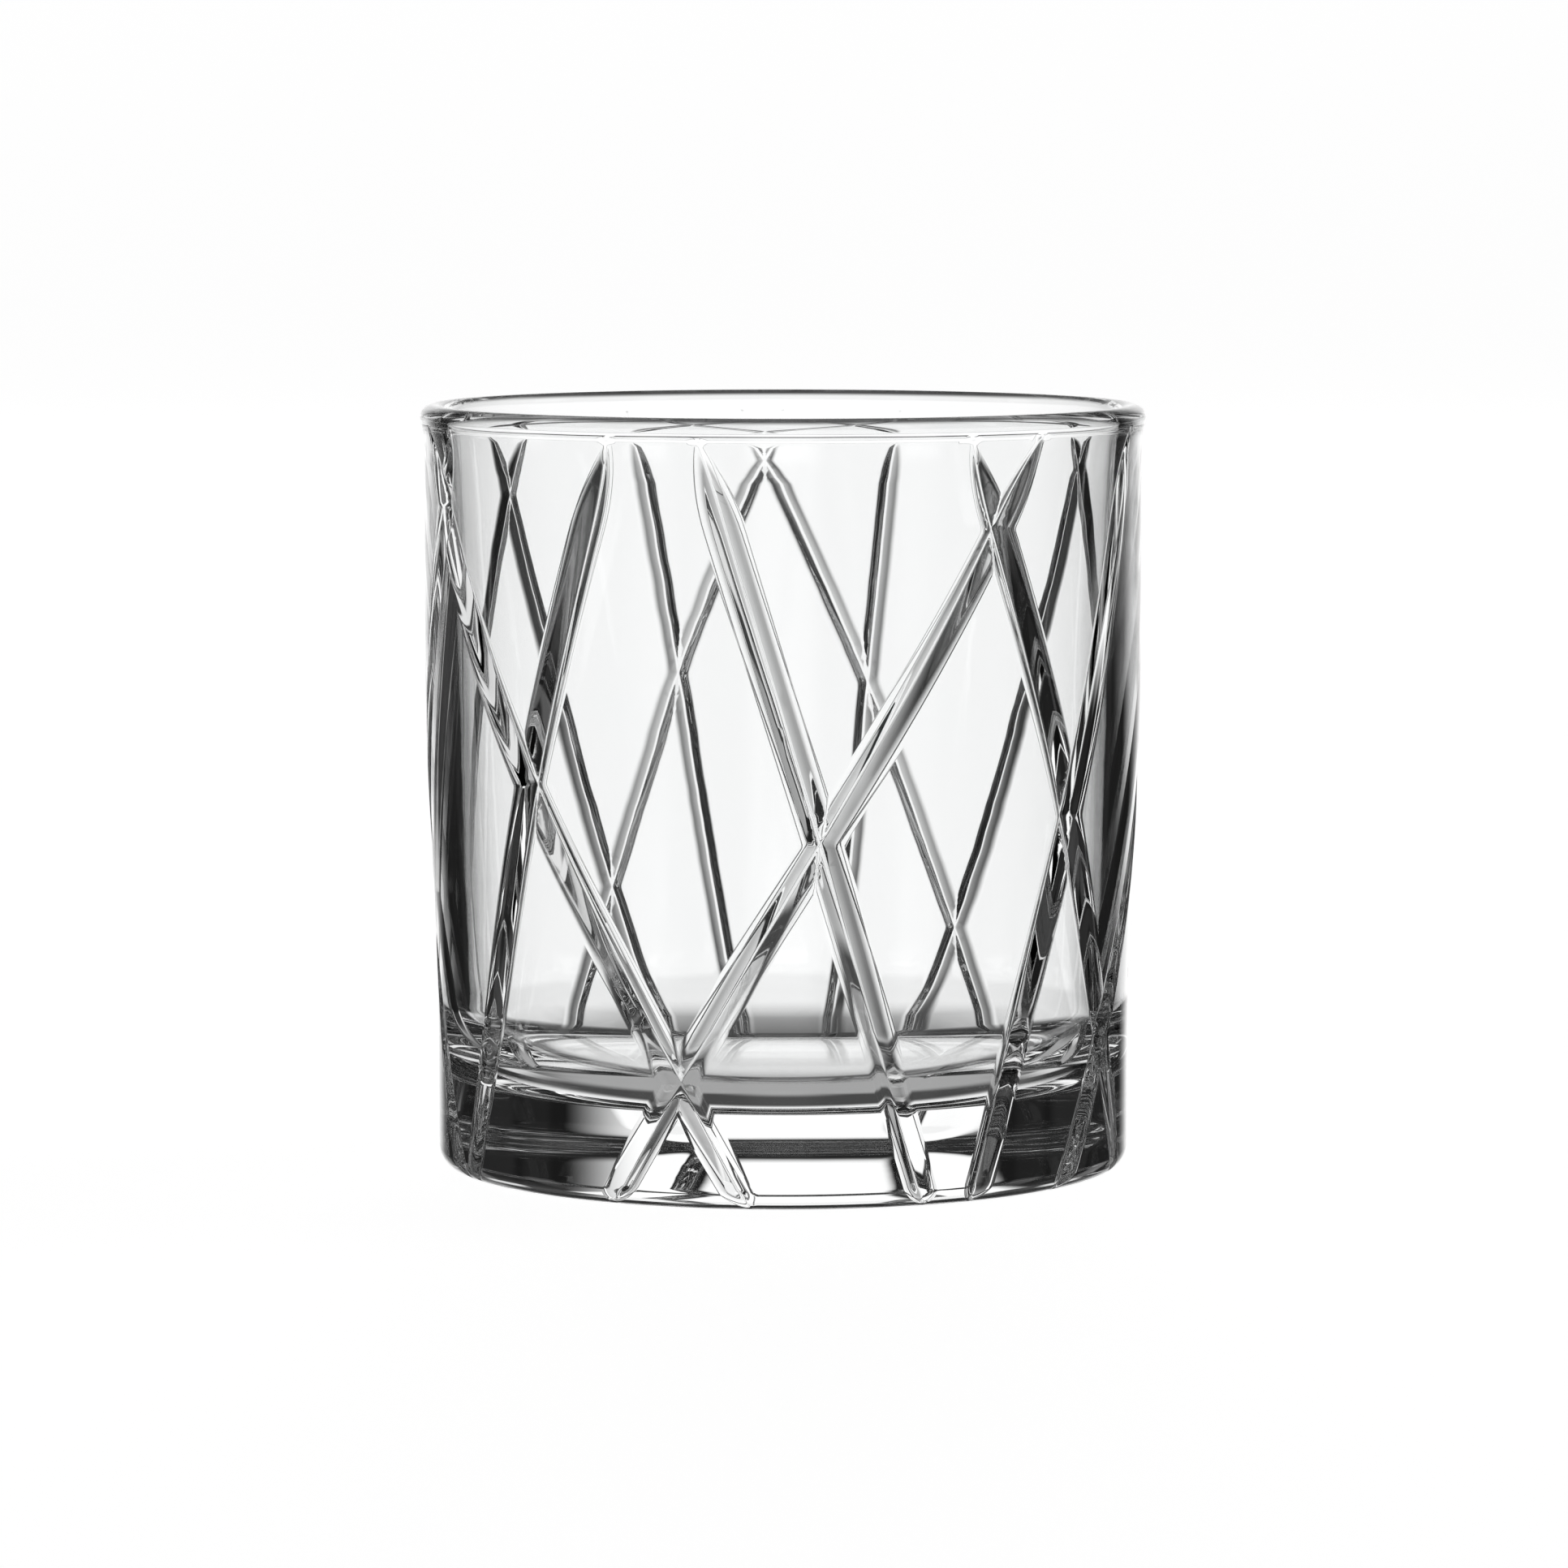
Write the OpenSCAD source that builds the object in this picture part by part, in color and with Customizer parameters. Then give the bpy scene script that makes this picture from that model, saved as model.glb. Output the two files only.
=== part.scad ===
// Whiskey tumbler: one piece of clear pressed glass with crossing V cuts round its side.
// Millimetres. The glass stands on z = 0 with its axis on Z.
// Azimuths are degrees round Z, 0 at -Y and 90 at +X.

/* [Glass] */
// Height from the table to the top of the lip
height = 91; // [80:1:105]
// Diameter across the lip
rim_d = 86.4; // [76:0.2:96]
// Diameter just above the foot corner
foot_d = 82.4; // [72:0.2:92]
// Radius of the rounded corner round the foot
foot_round = 2.4; // [1.5:0.1:4]
// Thickness of the solid base under the floor
base_t = 10; // [8:0.5:18]

/* [Cavity] */
// Diameter of the cavity at the lower end of its straight side
floor_d = 74.4; // [60:0.2:76]
// Radius between the floor and the side
floor_round = 10.5; // [4:0.5:14]

/* [Rim] */
// Diameter of the round section that forms the lip
lip_t = 3.2; // [2.4:0.1:3.2]
// Height of the plain band above the cuts
band_h = 3.2; // [3.2:0.2:8]
// How far the band stands out from the side
band_step = 0.2; // [0:0.05:0.4]
// How far the band leans out to the lip
band_lean = 0.3; // [0.2:0.05:0.6]

/* [Cuts] */
// Depth of a cut at the foot
foot_depth = 1; // [0.6:0.05:1.6]
// Angle between the two faces of a cut
cut_angle = 106; // [90:1:120]
// Length over which a cut deepens from its pointed top
cut_run = 10; // [6:1:20]
// Gap between the band and the tops of the cuts
cut_gap = 0.2; // [0.1:0.1:2]
// Cuts that run down to the left: azimuth at the top, azimuth at the foot, depth below the side
left_cuts = [
    [71, 32.5, 1.35], [43.5, -29, 1.2], [-28, -62.5, 1.35], [-65, -104, 1.35],
    [117, 52.4, 1.35], [187, 129.2, 1.1], [207.8, 185.6, 1.1], [244.2, 197.7, 1.1]
]; // [-180:0.1:360]
// Cuts that run down to the right: azimuth at the top, azimuth at the foot, depth below the side
right_cuts = [
    [-75, -5.5, 1.35], [-13, 23.6, 1.35], [30.5, 73.5, 1.35], [-128, -66.5, 1.1],
    [180, 231.5, 1.1], [109.4, 160.4, 1.1], [159.4, 172, 1.1]
]; // [-180:0.1:360]

/* [Hidden] */
$fn = 180;
glass = [0.86, 0.9, 0.92, 0.55];

rim_r = rim_d / 2;
foot_r = foot_d / 2;
floor_r = floor_d / 2;
lip_r = lip_t / 2;
lip_z = height - lip_r;
band_z = height - band_h;
panel_r = rim_r - band_lean - band_step;
mouth_r = rim_r - lip_t - band_lean;
lip_blend = 0.15;
overshoot = 1;

// The base and the side meet on a level just above the floor.
split_z = base_t + 1;

// The side swells from the foot to the panels between these two heights.
swell_z0 = 0.15 * height;
swell_z1 = 0.65 * height;
side_steps = 6;

// A cut starts below the band and leaves through the foot corner.
cut_top = band_z - cut_gap;
cut_steps = 9;
cut_lift = 0.4;
cut_clear = 0.05;
deep_z = 35;

function smooth(t) = let (u = min(max(t, 0), 1)) u * u * (3 - 2 * u);
function side_r(z) = foot_r + (panel_r - foot_r) * smooth((z - swell_z0) / (swell_z1 - swell_z0));
function corner_r(z) = foot_r - foot_round + sqrt(foot_round ^ 2 - (foot_round - z) ^ 2);
function outer_r(z) = z < foot_round ? corner_r(z) : side_r(z);
function inner_r(z) = floor_r + (mouth_r - floor_r) * (z - base_t) / (band_z - base_t);

// The outer surface from z0 to z1 as a list of [radius, height].
function outer_line(z0, z1) = [
    for (i = [0:side_steps])
        let (z = z0 + (z1 - z0) * i / side_steps)
            [side_r(z), z]
];

// Depth of a cut at a height. Its top end sits just clear of the side.
function runout(z) = 1 - (1 - min((cut_top - z) / cut_run, 1)) ^ 2;
function full_d(depth, z) = foot_depth + (depth - foot_depth) * smooth(z / deep_z);
function cut_d(depth, z) = full_d(depth, z) * runout(z) - cut_clear;

// Heights of a cut's sections, closer together where the cut bends.
run_heights = [for (i = [0:4]) cut_top - cut_run * (i / 4) ^ 2];
side_heights = [
    for (i = [1:cut_steps])
        cut_top - cut_run + (foot_round - cut_top + cut_run) * i / cut_steps
];
corner_heights = [for (a = [25, 45, 65]) foot_round * (1 - sin(a))];
cut_heights = concat(run_heights, side_heights, corner_heights);

function at(r, az, across, z) = [
    r * sin(az) + across * cos(az),
    -r * cos(az) + across * sin(az),
    z
];

// One V section: the valley, then the two edges outside the glass.
function section(az, lean, r, d, z) =
    let (half = (d + cut_lift) * tan(cut_angle / 2) / cos(lean))
        [at(r - d, az, 0, z), at(r + cut_lift, az, -half, z), at(r + cut_lift, az, half, z)];

module cut(top_az, foot_az, depth) {
    turn = (foot_az - top_az) / cut_top;
    lean = atan(turn * PI / 180 * panel_r);
    sides = [
        for (z = cut_heights)
            section(top_az + turn * (cut_top - z), lean, outer_r(z), cut_d(depth, z), z)
    ];
    foot = section(foot_az, lean, foot_r - foot_round - cut_lift, foot_depth, -foot_depth / 2);
    rings = concat(sides, [foot]);
    last = len(rings) - 1;
    points = [for (ring = rings) for (p = ring) p];
    walls = [
        for (i = [0:last - 1]) for (k = [0:2])
            let (a = 3 * i + k, b = 3 * i + (k + 1) % 3)
                each [[a, b, b + 3], [a, b + 3, a + 3]]
    ];
    ends = [[2, 1, 0], [3 * last, 3 * last + 1, 3 * last + 2]];
    polyhedron(points, concat(walls, ends));
}

module cuts() {
    for (c = left_cuts)
        cut(c[0], c[1], c[2]);
    for (c = right_cuts)
        cut(c[0], c[1], c[2]);
}

// The plain band and the rounded lip.
module rim() {
    color(glass)
        rotate_extrude() {
            translate([rim_r - lip_r, lip_z])
                circle(lip_r, $fn = 64);
            polygon([
                [mouth_r, band_z],
                [rim_r - band_lean, band_z],
                [rim_r - lip_blend, lip_z],
                [rim_r - lip_t + lip_blend, lip_z]
            ]);
        }
}

// The hollow from the floor up past the band's lower edge.
module cavity() {
    corner_z = base_t + floor_round;
    corner_in = inner_r(corner_z) - floor_round;
    top_z = band_z + overshoot;
    rotate_extrude() {
        translate([0, base_t])
            square([corner_in, floor_round]);
        translate([corner_in, corner_z])
            intersection() {
                circle(floor_round, $fn = 96);
                translate([0, -floor_round])
                    square(floor_round);
            }
        polygon([[0, corner_z], [inner_r(corner_z), corner_z], [inner_r(top_z), top_z], [0, top_z]]);
    }
}

// The side, from just above the floor to the plain band.
module wall() {
    color(glass)
        difference() {
            rotate_extrude()
                polygon(concat([[0, split_z]], outer_line(split_z, band_z), [[0, band_z]]));
            cavity();
            cuts();
        }
}

// The solid base, with its rounded foot corner and the floor of the hollow.
module base() {
    color(glass)
        difference() {
            rotate_extrude() {
                square([foot_r - foot_round, foot_round]);
                translate([foot_r - foot_round, foot_round])
                    intersection() {
                        circle(foot_round, $fn = 64);
                        translate([0, -foot_round])
                            square(foot_round);
                    }
                polygon(concat([[0, foot_round]], outer_line(foot_round, split_z), [[0, split_z]]));
            }
            cavity();
            cuts();
        }
}

rim();
wall();
base();
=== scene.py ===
"""A clear pressed whiskey tumbler with crossing V cuts, on a plain white studio floor."""

import math

import bpy
import numpy as np
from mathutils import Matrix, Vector
from mathutils.geometry import delaunay_2d_cdt


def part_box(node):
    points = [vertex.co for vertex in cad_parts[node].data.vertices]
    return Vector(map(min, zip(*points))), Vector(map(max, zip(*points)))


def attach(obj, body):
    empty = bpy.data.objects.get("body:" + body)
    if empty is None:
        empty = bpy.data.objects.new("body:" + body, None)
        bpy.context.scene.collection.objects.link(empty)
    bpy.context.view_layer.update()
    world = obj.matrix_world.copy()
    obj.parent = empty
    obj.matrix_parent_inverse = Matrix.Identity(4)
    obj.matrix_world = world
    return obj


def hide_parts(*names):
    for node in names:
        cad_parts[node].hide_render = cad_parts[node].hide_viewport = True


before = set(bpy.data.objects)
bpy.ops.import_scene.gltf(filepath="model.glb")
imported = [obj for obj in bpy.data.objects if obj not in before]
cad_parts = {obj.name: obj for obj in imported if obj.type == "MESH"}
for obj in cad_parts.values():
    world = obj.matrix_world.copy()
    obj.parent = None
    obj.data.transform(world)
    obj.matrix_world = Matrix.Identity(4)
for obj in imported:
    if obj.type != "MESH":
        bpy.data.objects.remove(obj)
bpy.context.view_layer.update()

# ---------------------------------------------------------------- sizes, in millimetres

M = 0.001
rim_low, rim_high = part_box("rim")
base_low, base_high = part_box("base")

HEIGHT = rim_high.z / M
RIM_R = min(rim_high.x, rim_high.y) / M
FOOT_R = min(base_high.x, base_high.y) / M
BAND_Z = rim_low.z / M

# The base ends a little above the floor of the cavity.
SPLIT_ABOVE_FLOOR = 1
FLOOR_Z = base_high.z / M - SPLIT_ABOVE_FLOOR

# The outline: a foot corner, a side that swells, a faint crease and a flare up to the round lip.
FOOT_ROUND = 2.4
LIP_R = 1.6
LIP_Z = HEIGHT - LIP_R
PANEL_IN = 0.55
PANEL_R = RIM_R - PANEL_IN
SWELL = (0.15 * HEIGHT, 0.65 * HEIGHT)
FLARE_Z = 84
FLARE_OUT = 0.45
CREASE_Z = BAND_Z + 0.4
CREASE_H = 0.3
CREASE_STEP = 0.06

# The cut side runs between these two lengths up the outline. The lower one is the end of the foot corner.
LOW_V = FOOT_ROUND * (1 - math.pi / 2)
HIGH_V = CREASE_Z + CREASE_H + 0.3

# The cavity.
CAVITY_R = 37.2
CAVITY_ROUND = 10.5
MOUTH_IN = 0.3
MOUTH_R = RIM_R - 2 * LIP_R - MOUTH_IN

# The cuts: azimuth at the top and at the foot in degrees, and depth below the side.
LEFT_CUTS = [
    (71, 32.5, 1.35), (43.5, -29, 1.2), (-28, -62.5, 1.35), (-65, -104, 1.35),
    (117, 52.4, 1.35), (187, 129.2, 1.1), (207.8, 185.6, 1.1), (244.2, 197.7, 1.1),
]
RIGHT_CUTS = [
    (-75, -5.5, 1.35), (-13, 23.6, 1.35), (30.5, 73.5, 1.35), (-128, -66.5, 1.1),
    (180, 231.5, 1.1), (109.4, 160.4, 1.1), (159.4, 172, 1.1),
]
CUT_TOP = BAND_Z + 0.1
CUT_ANGLE = 106

# A cut deepens over CUT_RUN from its pointed top, and tapers to FOOT_DEPTH below DEEP_Z.
CUT_RUN = 10
FOOT_DEPTH = 1
DEEP_Z = 35

# How far the edges of a cut and the ridges where two cross are rounded, and the radius of its valley.
EDGE_SOFT = 0.45
RIDGE_SOFT = 0.25
VALLEY_R = 0.15

SEGMENTS = 288
TURN = 2 * math.pi
COLUMN = TURN / SEGMENTS
MEAN_R = (FOOT_R + PANEL_R) / 2
STEEP = 1 / math.tan(math.radians(CUT_ANGLE / 2))


def smooth(t):
    u = np.clip(t, 0, 1)
    return u * u * (3 - 2 * u)


def soft_max(a, b, e):
    """The larger of a and b, with the corner between them rounded over e."""
    return np.maximum(a, b) + np.maximum(e - np.abs(a - b), 0) ** 2 / (4 * e)


# ---------------------------------------------------------------- the outer surface


def side_r(z):
    """Radius of the uncut side at a height."""
    swell = FOOT_R + (PANEL_R - FOOT_R) * smooth((z - SWELL[0]) / (SWELL[1] - SWELL[0]))
    flare = FLARE_OUT * (np.maximum(z - FLARE_Z, 0) / (LIP_Z - FLARE_Z)) ** 2
    crease = CREASE_STEP * smooth((z - CREASE_Z) / CREASE_H)
    return swell + flare + crease


def outline(v):
    """Radius, height and outward normal at v, a length up the outline.

    Above the foot corner v equals the height.
    """
    turn = np.clip((FOOT_ROUND - v) / FOOT_ROUND, 0, math.pi / 2)
    on_side = v >= FOOT_ROUND
    slope = (side_r(v + 0.01) - side_r(v - 0.01)) / 0.02
    length = np.sqrt(1 + slope**2)
    r = np.where(on_side, side_r(v), FOOT_R - FOOT_ROUND + FOOT_ROUND * np.cos(turn))
    z = np.where(on_side, v, FOOT_ROUND * (1 - np.sin(turn)))
    nr = np.where(on_side, 1 / length, np.cos(turn))
    nz = np.where(on_side, -slope / length, -np.sin(turn))
    return r, z, nr, nz


def valley_depth(depth, v):
    """Depth of a cut's valley at v: pointed at the top, run out round the foot corner."""
    deep = FOOT_DEPTH + (depth - FOOT_DEPTH) * smooth(v / DEEP_Z)
    below = (CUT_TOP - v) / CUT_RUN
    top = np.where(below < 0, 2 * below, 1 - (1 - np.clip(below, 0, 1)) ** 2)
    toe = smooth((v - LOW_V) / (FOOT_ROUND - LOW_V))
    return deep * top * toe - EDGE_SOFT * (1 - toe)


class Cut:
    """One V cut, straight on the unrolled side."""

    def __init__(self, top, foot, depth):
        self.depth = depth
        self.top = math.radians(top)
        self.turn = math.radians(foot - top) / CUT_TOP
        self.cos_lean = math.cos(math.atan(self.turn * MEAN_R))

    def azimuth(self, v):
        return self.top + self.turn * (CUT_TOP - v)

    def height(self, theta, v):
        """How far the cut's faces lie below the side. It is negative outside the cut."""
        off = (theta - self.azimuth(v) + math.pi) % TURN - math.pi
        across = off * MEAN_R * self.cos_lean
        return valley_depth(self.depth, v) - STEEP * (np.sqrt(across**2 + VALLEY_R**2) - VALLEY_R)

    def offset(self, v, level):
        """Angle from the valley to where the cut's face is at this level, or nan where it never is."""
        rise = (valley_depth(self.depth, v) - level) / STEEP + VALLEY_R
        across = np.sqrt(np.where(rise >= VALLEY_R, rise**2 - VALLEY_R**2, np.nan))
        return across / (MEAN_R * self.cos_lean)


CUTS = [Cut(*c) for c in LEFT_CUTS + RIGHT_CUTS]


def cut_depth(theta, v):
    """Depth of all the cuts together below the side, 0 on the panels between them."""
    deepest = np.full(np.shape(theta), -1.0)
    for cut in CUTS:
        deepest = soft_max(deepest, cut.height(theta, v), RIDGE_SOFT)
    return soft_max(deepest, 0.0, EDGE_SOFT)


def side_point(theta, v):
    r, z, nr, nz = outline(v)
    d = cut_depth(theta, v)
    r = r - d * nr
    return np.stack([r * np.sin(theta), -r * np.cos(theta), z - d * nz], -1)


def side_normal(theta, v):
    """The true normal of the side, from points a hair apart."""
    t, h = 0.01 / MEAN_R, 0.01
    along = side_point(theta + t, v) - side_point(theta - t, v)
    up = side_point(theta, v + h) - side_point(theta, v - h)
    n = np.cross(along, up)
    return n / np.linalg.norm(n, axis=-1, keepdims=True)


# ---------------------------------------------------------------- mesh of the cut side

# The lines along a cut start above its top, and have points closer together near it.
LINE_LEAD = 0.8
LINE_STEP = 2.0


def cut_lines(cut):
    """Mesh lines that follow a cut: its valley, its faces and its two soft edges."""
    run = CUT_TOP + LINE_LEAD - (CUT_RUN + LINE_LEAD) * np.linspace(0, 1, 14) ** 1.3
    side = np.arange(run[-1] - LINE_STEP, FOOT_ROUND, -LINE_STEP)
    toe = np.linspace(FOOT_ROUND, LOW_V + 0.1, 10)
    v = np.concatenate([run, side, toe])
    theta = cut.azimuth(v)
    lines = []
    for across in (0.0, 0.1, 0.25):
        off = across / (MEAN_R * cut.cos_lean) + 0 * v
        for sign in ((1,) if across == 0 else (1, -1)):
            lines.append((theta + sign * off, v))
    for level in (-1.0, -0.5, 0.0, 0.5, 1.0):
        off = cut.offset(v, level * EDGE_SOFT)
        for sign in (1, -1):
            keep = ~np.isnan(off)
            lines.append((theta[keep] + sign * off[keep], v[keep]))
    middle = cut.offset(v, 0.5 * valley_depth(cut.depth, v))
    for sign in (1, -1):
        keep = ~np.isnan(middle)
        lines.append((theta[keep] + sign * middle[keep], v[keep]))
    return [line for line in lines if len(line[0]) > 1]


def ridge_lines(a, b):
    """Lines where two crossing cuts are equally deep, out from the middle of the crossing."""
    lines = []
    # Distances across both cuts, per millimetre round the side and up it.
    across = np.array([[c.cos_lean, c.cos_lean * c.turn * MEAN_R] for c in (a, b)])
    for shift in (-TURN, 0, TURN):
        gap = a.top - b.top + shift
        turn = b.turn - a.turn
        if turn == 0:
            continue
        v0 = CUT_TOP - gap / turn
        if not LOW_V < v0 < CUT_TOP:
            continue
        theta0 = a.azimuth(v0)
        deep_a, deep_b = (float(valley_depth(c.depth, v0)) for c in (a, b))
        lead = (deep_a - deep_b) / STEEP
        t = np.linspace(0, (min(deep_a, deep_b) + EDGE_SOFT) / STEEP, 8)
        for side_a in (1, -1):
            for side_b in (1, -1):
                off = np.array([side_a * (t + max(lead, 0)), side_b * (t + max(-lead, 0))])
                x, dv = np.linalg.solve(across, off)
                v = v0 + dv
                keep = (v > LOW_V + 0.05) & (v < HIGH_V - 0.05)
                lines.append(((theta0 + x / MEAN_R)[keep], v[keep]))
    return [line for line in lines if len(line[0]) > 1]


def side_mesh():
    """Points and triangles of the cut side, its lines laid along the cuts."""
    points, edges = [], []

    def add(line):
        start = len(points)
        points.extend(zip(line[0] * MEAN_R, line[1]))
        edges.extend((i, i + 1) for i in range(start, len(points) - 1))

    lines = []
    for i, cut in enumerate(CUTS):
        lines += cut_lines(cut)
        for other in CUTS[i + 1:]:
            lines += ridge_lines(cut, other)
    for theta, v in lines:
        for shift in (-TURN, 0, TURN):
            near = (theta + shift > -0.1) & (theta + shift < TURN + 0.1)
            if near.any():
                add((theta + shift, v))
    columns = np.arange(SEGMENTS + 1) * COLUMN
    for v in (LOW_V, HIGH_V):
        add((columns, np.full(len(columns), v)))
    rows = np.concatenate([
        np.linspace(LOW_V, FOOT_ROUND, 8)[1:],
        np.linspace(FOOT_ROUND, CUT_TOP - 1, 52)[1:],
        np.linspace(CUT_TOP - 1, HIGH_V, 10)[1:-1],
    ])
    for theta in (0, TURN):
        add((np.full(len(rows) + 2, theta), np.concatenate([[LOW_V], rows, [HIGH_V]])))
    grid_t, grid_v = np.meshgrid(columns[1:-1], rows)
    grid_t, grid_v = grid_t.ravel(), grid_v.ravel()
    # Grid points fill the panels, clear of the lines along the cuts.
    deepest = np.max([cut.height(grid_t, grid_v) for cut in CUTS], axis=0)
    clear = deepest < -1.8 * EDGE_SOFT
    points.extend(zip(grid_t[clear] * MEAN_R, grid_v[clear]))

    flat = [Vector(p) for p in points]
    out = delaunay_2d_cdt(flat, edges, [], 0, 1e-4)
    uv = np.array(out[0])
    tri = np.array(out[2])
    theta, v = uv[:, 0] / MEAN_R, uv[:, 1]
    middle = theta[tri].mean(1)
    level = v[tri].mean(1)
    inside = (middle > 0) & (middle < TURN) & (level > LOW_V) & (level < HIGH_V)
    return theta, v, tri[inside]


# ---------------------------------------------------------------- mesh of the rest: rim, cavity and underside


def cavity_r(z):
    """Inner radius: a straight draft, opening a little towards the lip."""
    straight = CAVITY_R + (MOUTH_R - CAVITY_R) * (z - FLOOR_Z) / (BAND_Z - FLOOR_Z)
    draft = (MOUTH_R - CAVITY_R) / (BAND_Z - FLOOR_Z)
    open_r = RIM_R - 2 * LIP_R - (CAVITY_R + draft * (LIP_Z - FLOOR_Z))
    return straight + open_r * (np.maximum(z - FLARE_Z, 0) / (LIP_Z - FLARE_Z)) ** 2


def arc(r0, z0, radius, start, end, steps):
    """An arc of the section, with its normals pointing away from its centre."""
    a = np.radians(np.linspace(start, end, steps))
    return r0 + radius * np.cos(a), z0 + radius * np.sin(a), np.cos(a), np.sin(a)


def upper_section():
    """From the top of the cut side, over the lip and down the cavity, to near the middle of the floor."""
    v = np.linspace(HIGH_V, LIP_Z, 4)[1:-1]
    flare = outline(v)
    lip = arc(RIM_R - LIP_R, LIP_Z, LIP_R, 0, 180, 25)
    corner_z = FLOOR_Z + CAVITY_ROUND
    z = np.linspace(LIP_Z, corner_z, 42)[1:-1]
    slope = (cavity_r(z + 0.01) - cavity_r(z - 0.01)) / 0.02
    length = np.sqrt(1 + slope**2)
    side = cavity_r(z), z, -1 / length, slope / length
    corner_r = float(cavity_r(corner_z)) - CAVITY_ROUND
    corner = arc(corner_r, corner_z, CAVITY_ROUND, 0, -90, 19)
    corner = corner[0], corner[1], -corner[2], -corner[3]
    r = np.linspace(corner_r, 0, 9)[1:-1]
    floor = r, np.full(len(r), FLOOR_Z), np.zeros(len(r)), np.ones(len(r))
    return [np.concatenate(part) for part in zip(flare, lip, side, corner, floor)]


def under_section():
    """From the foot corner to near the middle of the flat underside."""
    r = np.linspace(FOOT_R - FOOT_ROUND, 0, 10)[1:-1]
    return r, np.zeros(len(r)), np.zeros(len(r)), np.full(len(r), -1.0)


class Shell:
    """Collects points, normals and faces for one closed mesh."""

    def __init__(self):
        self.points, self.normals, self.faces = [], [], []
        self.count = 0

    def add(self, points, normals):
        first = self.count
        self.points.append(points)
        self.normals.append(normals)
        self.count += len(points)
        return first

    def strip(self, ring, next_ring):
        """Quads between two rings of points, given as lists of point numbers."""
        for i in range(SEGMENTS):
            j = (i + 1) % SEGMENTS
            self.faces.append((ring[i], ring[j], next_ring[j], next_ring[i]))

    def lathe(self, section, ring, centre_z, up):
        """Turn a section round the axis, from a ring of points that is there already to a centre point."""
        theta = np.arange(SEGMENTS) * COLUMN
        sin, cos = np.sin(theta), -np.cos(theta)
        for r, z, nr, nz in zip(*section):
            points = np.stack([r * sin, r * cos, np.full(SEGMENTS, z)], -1)
            normals = np.stack([nr * sin, nr * cos, np.full(SEGMENTS, nz)], -1)
            first = self.add(points, normals)
            next_ring = list(range(first, first + SEGMENTS))
            self.strip(*((ring, next_ring) if up > 0 else (next_ring, ring)))
            ring = next_ring
        tip = self.add(np.array([[0, 0, centre_z]]), np.array([[0, 0, float(up)]]))
        for i in range(SEGMENTS):
            pair = (ring[i], ring[(i + 1) % SEGMENTS])
            self.faces.append((*pair, tip) if up > 0 else (*pair[::-1], tip))


def close_seam(theta, v, tri):
    """Join the two edges of the unrolled side, and drop points that no triangle uses."""
    left = np.flatnonzero(np.abs(theta) < 1e-5)
    right = np.flatnonzero(np.abs(theta - TURN) < 1e-5)
    to = np.arange(len(theta))
    for i in right:
        to[i] = left[np.argmin(np.abs(v[left] - v[i]))]
    tri = to[tri]
    whole = (tri[:, 0] != tri[:, 1]) & (tri[:, 1] != tri[:, 2]) & (tri[:, 2] != tri[:, 0])
    used, tri = np.unique(tri[whole], return_inverse=True)
    return theta[used], v[used], tri.reshape(-1, 3)


def ring_at(theta, v, level):
    """Point numbers of the ring at this level, in order round the axis."""
    on = np.flatnonzero(np.abs(v - level) < 1e-3)
    ring = on[np.argsort(theta[on])]
    if len(ring) != SEGMENTS:
        raise ValueError(f"the ring at {level:.2f} has {len(ring)} points, not {SEGMENTS}")
    return [int(i) for i in ring]


def glass_mesh():
    """The whole glass as one closed mesh."""
    theta, v, tri = close_seam(*side_mesh())
    shell = Shell()
    shell.add(side_point(theta, v), side_normal(theta, v))
    shell.faces.extend(tuple(int(i) for i in t) for t in tri)
    shell.lathe(upper_section(), ring_at(theta, v, HIGH_V), FLOOR_Z, 1)
    shell.lathe(under_section(), ring_at(theta, v, LOW_V), 0.0, -1)
    mesh = bpy.data.meshes.new("tumbler_glass")
    mesh.from_pydata((np.concatenate(shell.points) * M).tolist(), [], shell.faces)
    mesh.shade_smooth()
    mesh.normals_split_custom_set_from_vertices(np.concatenate(shell.normals).tolist())
    return mesh


# ---------------------------------------------------------------- material

GLASS_IOR = 1.52
PALE_TINT = (0.99, 0.996, 0.996, 1)
CLEAR_TINT = (0.998, 1, 1, 1)

# The skin of the glass, in metres: length and height of the waves, and how far they are flattened.
WAVE_LENGTH, WAVE_HEIGHT, WAVE_FLATNESS = 0.014, 0.00002, 2.5
RIPPLE_LENGTH, RIPPLE_SHARE = 0.004, 0.1


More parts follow.
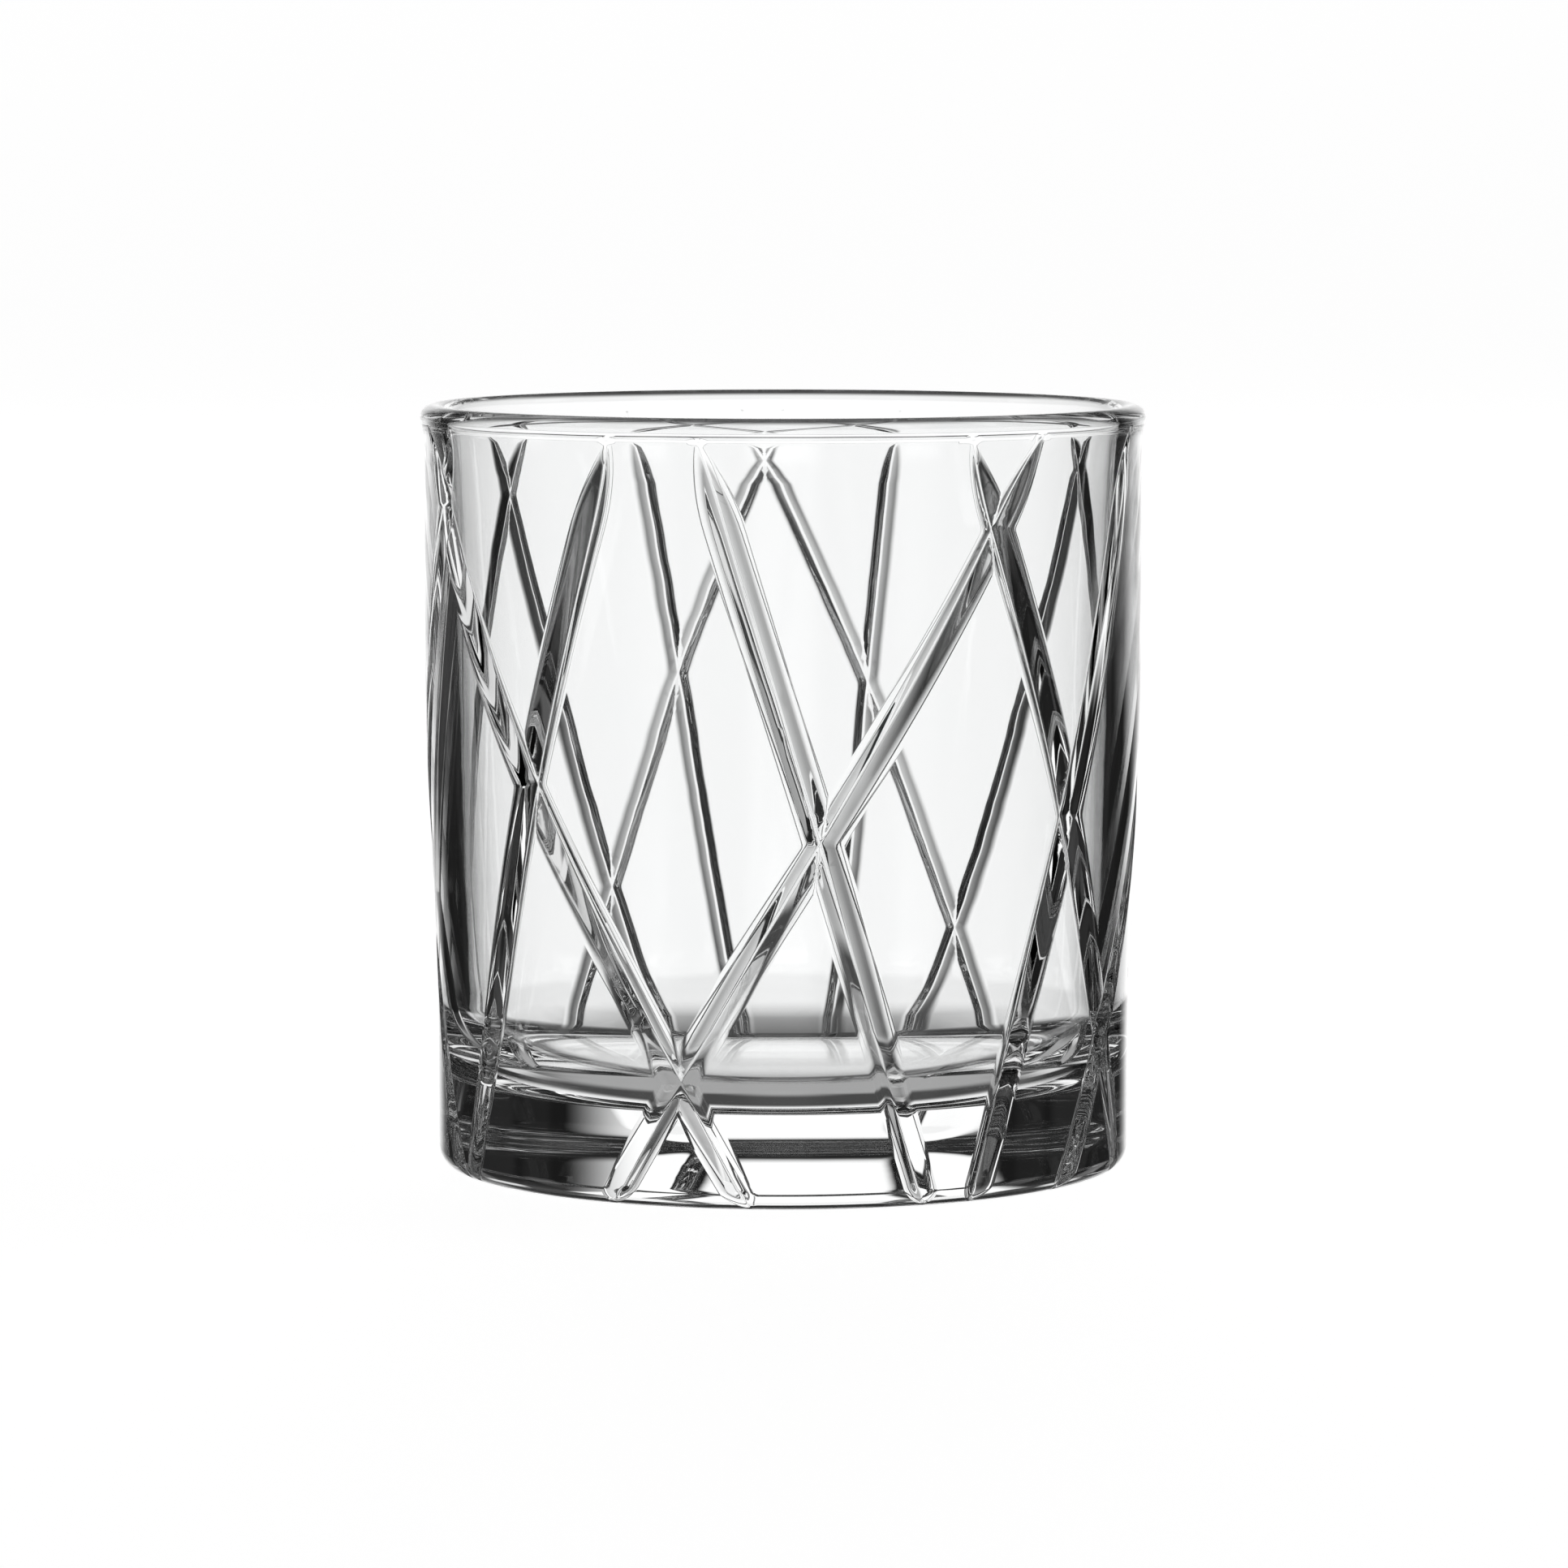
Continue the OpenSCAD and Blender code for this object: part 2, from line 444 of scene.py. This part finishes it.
class Graph:
    """Short names for building a node tree."""

    def __init__(self, tree):
        self.tree = tree

    def node(self, kind, **settings):
        made = self.tree.nodes.new(kind)
        for name, value in settings.items():
            setattr(made, name, value)
        return made

    def put(self, socket, value):
        if isinstance(value, bpy.types.NodeSocket):
            self.tree.links.new(value, socket)
        else:
            socket.default_value = value

    def math(self, operation, *values):
        made = self.node("ShaderNodeMath", operation=operation)
        for socket, value in zip(made.inputs, values):
            self.put(socket, value)
        return made.outputs[0]

    def fade(self, value, low, high, start=0.0, end=1.0):
        """A smooth step from start to end as value goes from low to high."""
        made = self.node("ShaderNodeMapRange", interpolation_type="SMOOTHSTEP")
        for socket, number in zip(made.inputs, (value, low, high, start, end)):
            self.put(socket, number)
        return made.outputs["Result"]

    def mix(self, factor, a, b):
        """From a at factor 0 to b at factor 1."""
        keep = self.math("MULTIPLY", a, self.math("SUBTRACT", 1.0, factor))
        return self.math("ADD", keep, self.math("MULTIPLY", b, factor))

    def noise(self, vector, length, detail):
        """Soft noise whose features are about this long, in metres."""
        made = self.node("ShaderNodeTexNoise")
        self.put(made.inputs["Vector"], vector)
        self.put(made.inputs["Scale"], 1 / length)
        self.put(made.inputs["Detail"], detail)
        return made.outputs[0]

    def window(self, value, edges):
        """1 between the middle two edges, falling to 0 at the outer two."""
        rise = self.fade(value, *edges[:2])
        fall = self.fade(value, *edges[2:], 1.0, 0.0)
        return self.math("MULTIPLY", rise, fall)


def glass_material():
    """Clear colourless glass. Its skin carries faint waves that run round it and a finer ripple."""
    mat = bpy.data.materials.new("clear_glass")
    mat.use_nodes = True
    graph = Graph(mat.node_tree)
    shader = mat.node_tree.nodes["Principled BSDF"]
    shader.inputs["Transmission Weight"].default_value = 1
    shader.inputs["Roughness"].default_value = 0
    shader.inputs["IOR"].default_value = GLASS_IOR

    place = graph.node("ShaderNodeTexCoord").outputs["Object"]
    flat = graph.node("ShaderNodeMapping")
    graph.put(flat.inputs["Vector"], place)
    graph.put(flat.inputs["Scale"], (1, 1, WAVE_FLATNESS))
    waves = graph.noise(flat.outputs["Vector"], WAVE_LENGTH, 1.0)
    ripple = graph.noise(place, RIPPLE_LENGTH, 0.0)
    relief = graph.math("ADD", waves, graph.math("MULTIPLY", ripple, RIPPLE_SHARE))
    bump = graph.node("ShaderNodeBump")
    graph.put(bump.inputs["Strength"], 1.0)
    graph.put(bump.inputs["Distance"], WAVE_HEIGHT)
    graph.put(bump.inputs["Height"], relief)
    graph.put(shader.inputs["Normal"], bump.outputs["Normal"])

    tint = graph.node("ShaderNodeMixRGB")
    graph.put(tint.inputs["Fac"], waves)
    graph.put(tint.inputs["Color1"], PALE_TINT)
    graph.put(tint.inputs["Color2"], CLEAR_TINT)
    graph.put(shader.inputs["Base Color"], tint.outputs["Color"])
    return mat


tumbler = bpy.data.objects.new("tumbler", glass_mesh())
bpy.context.collection.objects.link(tumbler)
tumbler.data.materials.append(glass_material())
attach(tumbler, "root")
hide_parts("rim", "wall", "base")

# ---------------------------------------------------------------- studio

# A bright-field set for clear glass. White panels stand round the object with dark cards between
# them, over a pale table. The glass sees them all as light from far away, in degrees. Each panel has
# its direction on either side, its inner and outer half widths, its light above the table's edge and
# the light of the table in front of it.
PANELS = [
    (0, 12, 29, 1.1, 0.98),
    (45, 4, 9, 0.02, 0.82),
    (90, 4, 9, 0.1, 0.82),
    (135, 4, 9, 0.15, 0.82),
    (180, 6, 16, 0.25, 0.85),
]
CARD_LIGHT, TABLE_CARD_LIGHT = 0.01, 0.04
PANEL_TOP = (10, 24)
CEILING_LIGHT = 0.02

# Heights where the table meets the panels and where it darkens, and its light close to the glass.
TABLE_EDGE = (-13, -9)
TABLE_FADE = (-48, -22)
TABLE_NEAR = 0.4

# A dark mat on the table behind the object, which draws the base and the rim.
MAT_LIGHT = 0.07
MAT_WIDTH, MAT_HEIGHT = (35, 60), (-85, -70, -42, -22)

# A soft box high on the right.
BOX_LIGHT = 0.4
BOX_AZIMUTH, BOX_HEIGHT = (48, 62, 78, 92), (18, 26, 46, 56)

# The floor, in metres: a hair below the glass, bent up into a wall.
FLOOR_GLOW = 0.95
FLOOR_DROP = -0.00005
SWEEP_R, SWEEP_H, SWEEP_BEND = 3.0, 2.5, 1.0
SWEEP_SIDES, SWEEP_STEPS = 96, 12


def studio_world():
    """Light by direction: azimuth is 0 along +Y and 90 along +X, height is 90 straight up."""
    world = bpy.data.worlds.new("studio")
    world.use_nodes = True
    graph = Graph(world.node_tree)
    split = graph.node("ShaderNodeSeparateXYZ")
    graph.put(split.inputs[0], graph.node("ShaderNodeTexCoord").outputs["Generated"])
    x, y, z = split.outputs
    azimuth = graph.math("DEGREES", graph.math("ARCTAN2", x, y))
    height = graph.math("DEGREES", graph.math("ARCSINE", z))
    turn = graph.math("ABSOLUTE", azimuth)
    wall, table = CARD_LIGHT, TABLE_CARD_LIGHT
    for place, inner, outer, wall_light, table_light in PANELS:
        off = graph.math("ABSOLUTE", graph.math("SUBTRACT", turn, float(place)))
        wall = graph.math("MAXIMUM", wall, graph.fade(off, inner, outer, wall_light, 0.0))
        table = graph.math("MAXIMUM", table, graph.fade(off, inner, outer, table_light, 0.0))
    wall = graph.mix(graph.fade(height, *PANEL_TOP), wall, CEILING_LIGHT)
    box = graph.math("MULTIPLY", graph.window(azimuth, BOX_AZIMUTH), graph.window(height, BOX_HEIGHT))
    wall = graph.math("ADD", wall, graph.math("MULTIPLY", box, BOX_LIGHT))
    table = graph.mix(graph.fade(height, *TABLE_FADE), TABLE_NEAR, table)
    mat = graph.math("MULTIPLY", graph.fade(turn, *MAT_WIDTH, 1.0, 0.0), graph.window(height, MAT_HEIGHT))
    table = graph.mix(mat, table, MAT_LIGHT)
    light = graph.mix(graph.fade(height, *TABLE_EDGE), table, wall)
    graph.put(world.node_tree.nodes["Background"].inputs["Strength"], light)
    graph.put(world.node_tree.nodes["Background"].inputs["Color"], (1, 1, 1, 1))
    return world


def floor_mesh():
    """A disc that sweeps up into a wall all round, turned from one section."""
    section = [(r, FLOOR_DROP) for r in (0.0, SWEEP_R - SWEEP_BEND)]
    for i in range(1, SWEEP_STEPS + 1):
        a = i / SWEEP_STEPS * math.pi / 2
        r = SWEEP_R - SWEEP_BEND * (1 - math.sin(a))
        section.append((r, FLOOR_DROP + SWEEP_BEND * (1 - math.cos(a))))
    section.append((SWEEP_R, SWEEP_H))
    points, faces = [], []
    for r, z in section:
        for i in range(SWEEP_SIDES):
            a = i / SWEEP_SIDES * TURN
            points.append((r * math.cos(a), r * math.sin(a), z))
    for row in range(len(section) - 1):
        for i in range(SWEEP_SIDES):
            j = (i + 1) % SWEEP_SIDES
            a, b = row * SWEEP_SIDES, (row + 1) * SWEEP_SIDES
            faces.append((a + i, b + i, b + j, a + j))
    mesh = bpy.data.meshes.new("floor")
    mesh.from_pydata(points, [], faces)
    mesh.shade_smooth()
    return mesh


def floor_material():
    """Plain pale paper with a glow of its own, so that it comes out even."""
    mat = bpy.data.materials.new("studio_floor")
    mat.use_nodes = True
    shader = mat.node_tree.nodes["Principled BSDF"]
    shader.inputs["Base Color"].default_value = (0.9, 0.9, 0.9, 1)
    shader.inputs["Roughness"].default_value = 0.8
    shader.inputs["Emission Color"].default_value = (1, 1, 1, 1)
    shader.inputs["Emission Strength"].default_value = FLOOR_GLOW
    return mat


def studio_floor():
    """The pale floor. Only the camera sees it, not the glass."""
    floor = bpy.data.objects.new("floor", floor_mesh())
    bpy.context.collection.objects.link(floor)
    floor.data.materials.append(floor_material())
    for ray in ("visible_diffuse", "visible_glossy", "visible_transmission", "visible_shadow"):
        setattr(floor, ray, False)
    return floor


scene = bpy.context.scene
scene.view_settings.view_transform = "Standard"
scene.cycles.max_bounces = 32
scene.cycles.transmission_bounces = 32
scene.cycles.transparent_max_bounces = 16
scene.cycles.glossy_bounces = 16
scene.world = studio_world()
studio_floor()

# The camera stands in front and a little above, a long lens looking slightly down.
CAMERA_DISTANCE = 0.8892
CAMERA_Z = 0.1283
CAMERA_TILT = 5.32
LENS = 171.4845
SENSOR = 36
SHIFT_X = 0.00067

camera = bpy.data.objects.new("camera", bpy.data.cameras.new("camera"))
bpy.context.collection.objects.link(camera)
camera.data.sensor_width = SENSOR
camera.data.lens = LENS
camera.data.shift_x = SHIFT_X
camera.data.clip_start = 0.01
camera.location = (0, -CAMERA_DISTANCE, CAMERA_Z)
camera.rotation_euler = (math.radians(90 - CAMERA_TILT), 0, 0)
scene.camera = camera
